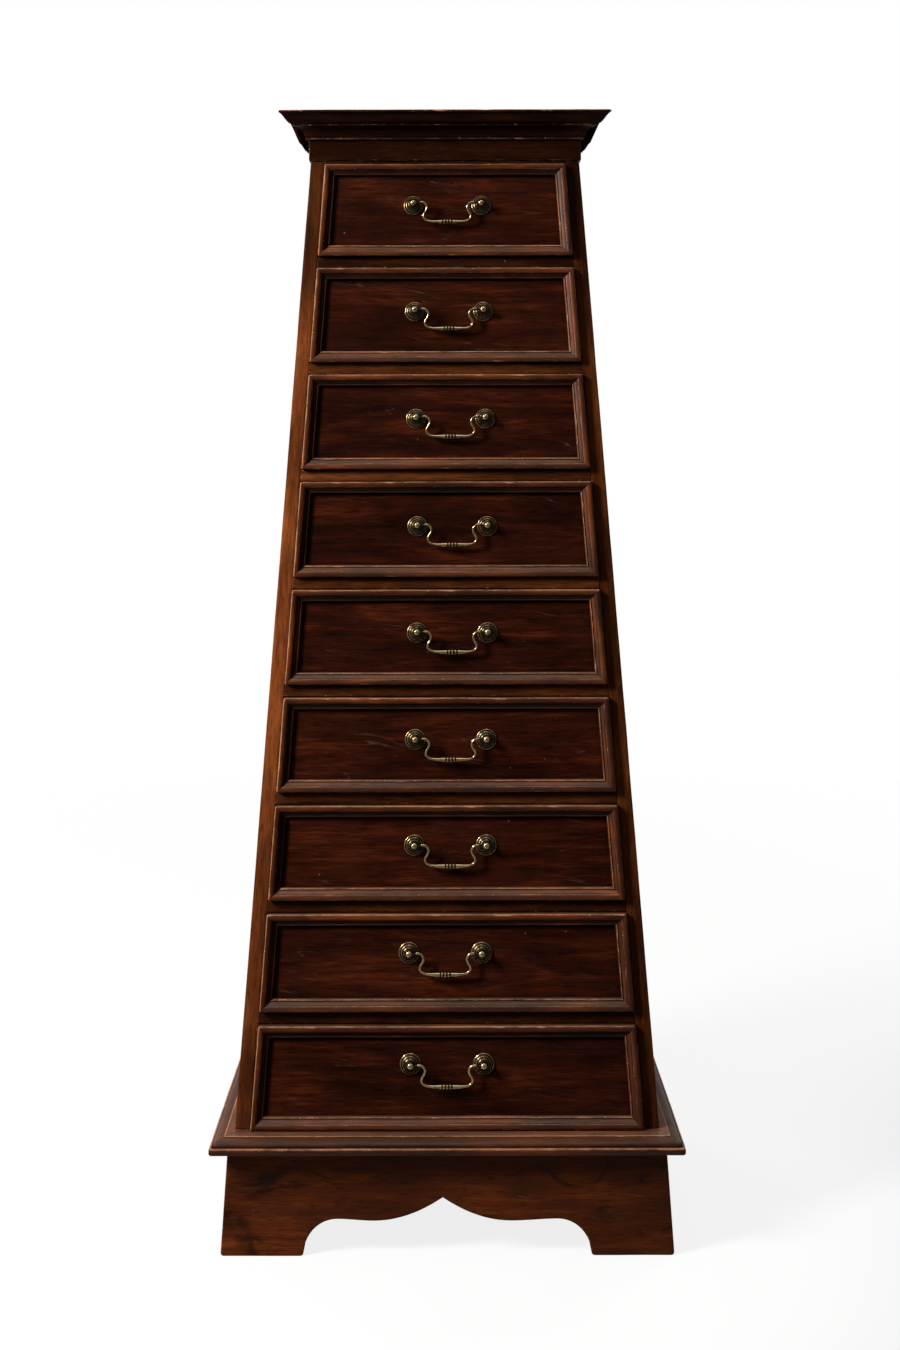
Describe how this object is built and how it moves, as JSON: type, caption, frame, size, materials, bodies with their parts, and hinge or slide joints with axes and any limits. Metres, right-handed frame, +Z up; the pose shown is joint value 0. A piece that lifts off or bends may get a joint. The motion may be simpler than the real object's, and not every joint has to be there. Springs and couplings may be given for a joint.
{
  "type": "pyramid chest of drawers",
  "caption": "Tall tapering mahogany chest with framed drawers, brass swan-neck bail handles, a moulded crown and a plinth with bracket feet.",
  "frame": {"origin": "on the floor, under the middle of the chest's bounding box", "axes": "+Z up, -Y out of the drawer fronts, +X to the right as seen from the front"},
  "size_m": [0.617, 0.4, 1.533],
  "materials": {
    "case_mahogany": "aged satin polish on mahogany, worn pale at the edges",
    "drawer_mahogany": "dark red-brown polish on mahogany, scuffed",
    "plinth_mahogany": "worn satin polish on orange-brown mahogany, stained near the floor",
    "lining_wood": "bare secondary timber",
    "antique_brass": "darkened antique brass with rubbed highlights"
  },
  "bodies": {
    "carcass": {"face_frame": "case_mahogany", "left_side": "case_mahogany", "right_side": "case_mahogany", "frieze": "case_mahogany", "crown_front": "case_mahogany", "crown_left": "case_mahogany", "crown_right": "case_mahogany", "top_board": "case_mahogany", "base_moulding": "case_mahogany", "plinth_front": "plinth_mahogany", "plinth_left": "plinth_mahogany", "plinth_right": "plinth_mahogany", "plinth_back": "lining_wood", "case_bottom": "lining_wood", "back_panel": "lining_wood"},
    "drawer_1": {"drawer_1_front": "drawer_mahogany", "drawer_1_tray": "lining_wood", "drawer_1_post_left": "antique_brass", "drawer_1_post_right": "antique_brass"},
    "drawer_2": {"drawer_2_front": "drawer_mahogany", "drawer_2_tray": "lining_wood", "drawer_2_post_left": "antique_brass", "drawer_2_post_right": "antique_brass"},
    "drawer_3": {"drawer_3_front": "drawer_mahogany", "drawer_3_tray": "lining_wood", "drawer_3_post_left": "antique_brass", "drawer_3_post_right": "antique_brass"},
    "drawer_4": {"drawer_4_front": "drawer_mahogany", "drawer_4_tray": "lining_wood", "drawer_4_post_left": "antique_brass", "drawer_4_post_right": "antique_brass"},
    "drawer_5": {"drawer_5_front": "drawer_mahogany", "drawer_5_tray": "lining_wood", "drawer_5_post_left": "antique_brass", "drawer_5_post_right": "antique_brass"},
    "drawer_6": {"drawer_6_front": "drawer_mahogany", "drawer_6_tray": "lining_wood", "drawer_6_post_left": "antique_brass", "drawer_6_post_right": "antique_brass"},
    "drawer_7": {"drawer_7_front": "drawer_mahogany", "drawer_7_tray": "lining_wood", "drawer_7_post_left": "antique_brass", "drawer_7_post_right": "antique_brass"},
    "drawer_8": {"drawer_8_front": "drawer_mahogany", "drawer_8_tray": "lining_wood", "drawer_8_post_left": "antique_brass", "drawer_8_post_right": "antique_brass"},
    "drawer_9": {"drawer_9_front": "drawer_mahogany", "drawer_9_tray": "lining_wood", "drawer_9_post_left": "antique_brass", "drawer_9_post_right": "antique_brass"},
    "bail_1": {"drawer_1_bail": "antique_brass"},
    "bail_2": {"drawer_2_bail": "antique_brass"},
    "bail_3": {"drawer_3_bail": "antique_brass"},
    "bail_4": {"drawer_4_bail": "antique_brass"},
    "bail_5": {"drawer_5_bail": "antique_brass"},
    "bail_6": {"drawer_6_bail": "antique_brass"},
    "bail_7": {"drawer_7_bail": "antique_brass"},
    "bail_8": {"drawer_8_bail": "antique_brass"},
    "bail_9": {"drawer_9_bail": "antique_brass"}
  },
  "joints": [
    {"name": "drawer_1_slide", "type": "slide", "parent": "carcass", "child": "drawer_1", "axis": [0, -1, 0], "range_m": [0, 0.105]},
    {"name": "drawer_2_slide", "type": "slide", "parent": "carcass", "child": "drawer_2", "axis": [0, -1, 0], "range_m": [0, 0.12]},
    {"name": "drawer_3_slide", "type": "slide", "parent": "carcass", "child": "drawer_3", "axis": [0, -1, 0], "range_m": [0, 0.135]},
    {"name": "drawer_4_slide", "type": "slide", "parent": "carcass", "child": "drawer_4", "axis": [0, -1, 0], "range_m": [0, 0.15]},
    {"name": "drawer_5_slide", "type": "slide", "parent": "carcass", "child": "drawer_5", "axis": [0, -1, 0], "range_m": [0, 0.165]},
    {"name": "drawer_6_slide", "type": "slide", "parent": "carcass", "child": "drawer_6", "axis": [0, -1, 0], "range_m": [0, 0.18]},
    {"name": "drawer_7_slide", "type": "slide", "parent": "carcass", "child": "drawer_7", "axis": [0, -1, 0], "range_m": [0, 0.195]},
    {"name": "drawer_8_slide", "type": "slide", "parent": "carcass", "child": "drawer_8", "axis": [0, -1, 0], "range_m": [0, 0.205]},
    {"name": "drawer_9_slide", "type": "slide", "parent": "carcass", "child": "drawer_9", "axis": [0, -1, 0], "range_m": [0, 0.22]},
    {"name": "bail_1_swing", "type": "hinge", "parent": "drawer_1", "child": "bail_1", "pos_m": [0.003, 0.00634, 1.40435], "axis": [-1, 0, 0], "range_deg": [-9, 170]},
    {"name": "bail_2_swing", "type": "hinge", "parent": "drawer_2", "child": "bail_2", "pos_m": [0.005, -0.01584, 1.25035], "axis": [-1, 0, 0], "range_deg": [-9, 170]},
    {"name": "bail_3_swing", "type": "hinge", "parent": "drawer_3", "child": "bail_3", "pos_m": [0.007, -0.0378, 1.09785], "axis": [-1, 0, 0], "range_deg": [-9, 170]},
    {"name": "bail_4_swing", "type": "hinge", "parent": "drawer_4", "child": "bail_4", "pos_m": [0.009, -0.0594, 0.94785], "axis": [-1, 0, 0], "range_deg": [-9, 170]},
    {"name": "bail_5_swing", "type": "hinge", "parent": "drawer_5", "child": "bail_5", "pos_m": [0.0085, -0.08035, 0.80235], "axis": [-1, 0, 0], "range_deg": [-9, 170]},
    {"name": "bail_6_swing", "type": "hinge", "parent": "drawer_6", "child": "bail_6", "pos_m": [0.006, -0.10094, 0.65935], "axis": [-1, 0, 0], "range_deg": [-9, 170]},
    {"name": "bail_7_swing", "type": "hinge", "parent": "drawer_7", "child": "bail_7", "pos_m": [0.005, -0.12096, 0.52035], "axis": [-1, 0, 0], "range_deg": [-9, 170]},
    {"name": "bail_8_swing", "type": "hinge", "parent": "drawer_8", "child": "bail_8", "pos_m": [-0.002, -0.14094, 0.3816], "axis": [-1, 0, 0], "range_deg": [-9, 170]},
    {"name": "bail_9_swing", "type": "hinge", "parent": "drawer_9", "child": "bail_9", "pos_m": [0, -0.1612, 0.24085], "axis": [-1, 0, 0], "range_deg": [-9, 170]}
  ]
}
